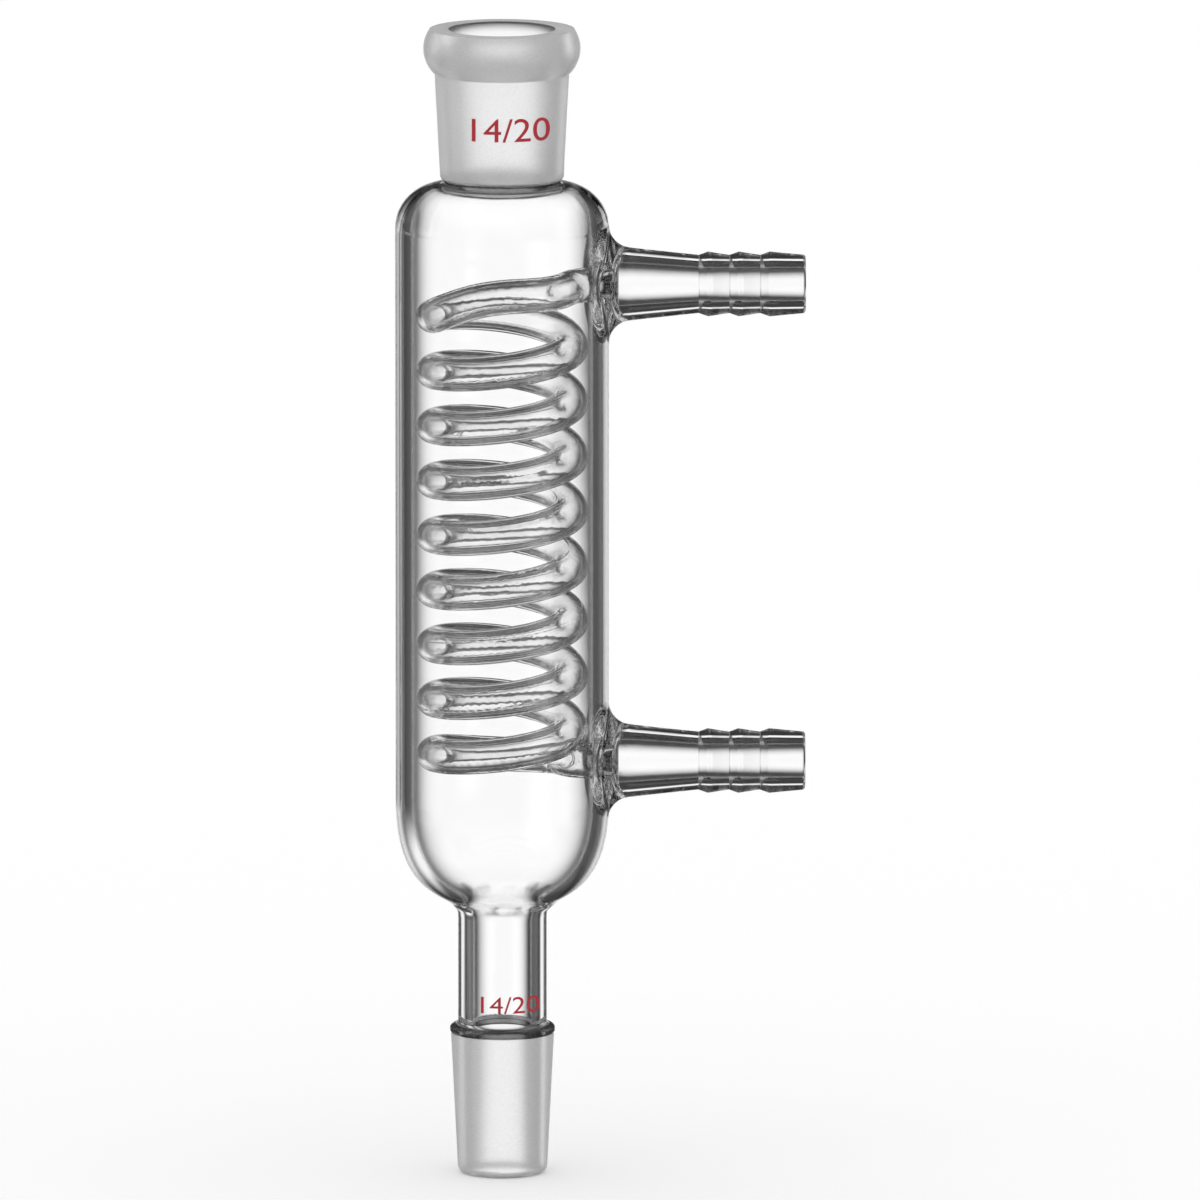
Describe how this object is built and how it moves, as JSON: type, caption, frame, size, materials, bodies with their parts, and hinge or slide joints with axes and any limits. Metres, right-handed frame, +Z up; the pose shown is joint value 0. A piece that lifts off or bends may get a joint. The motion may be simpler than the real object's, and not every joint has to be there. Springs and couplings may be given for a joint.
{
  "type": "coil condenser",
  "caption": "Lampworked glass coil condenser: a tubular jacket around a helical cooling tube with two side hose barbs, a ground socket above and a ground drip cone below.",
  "frame": {"origin": "on the axis at the gauge plane of the lower ground cone, its wide end just under the ring", "axes": "+Z up the axis towards the socket, +X towards the two hose barbs"},
  "size_m": [0.0575, 0.03, 0.1622],
  "materials": {
    "clear_glass": "clear fire-polished borosilicate glass, colourless",
    "frosted_glass": "finely ground, translucent grey-white glass on the socket and the cone",
    "size_print": "fired-on red enamel print"
  },
  "bodies": {
    "root": {"condenser": "clear_glass"}
  },
  "joints": []
}
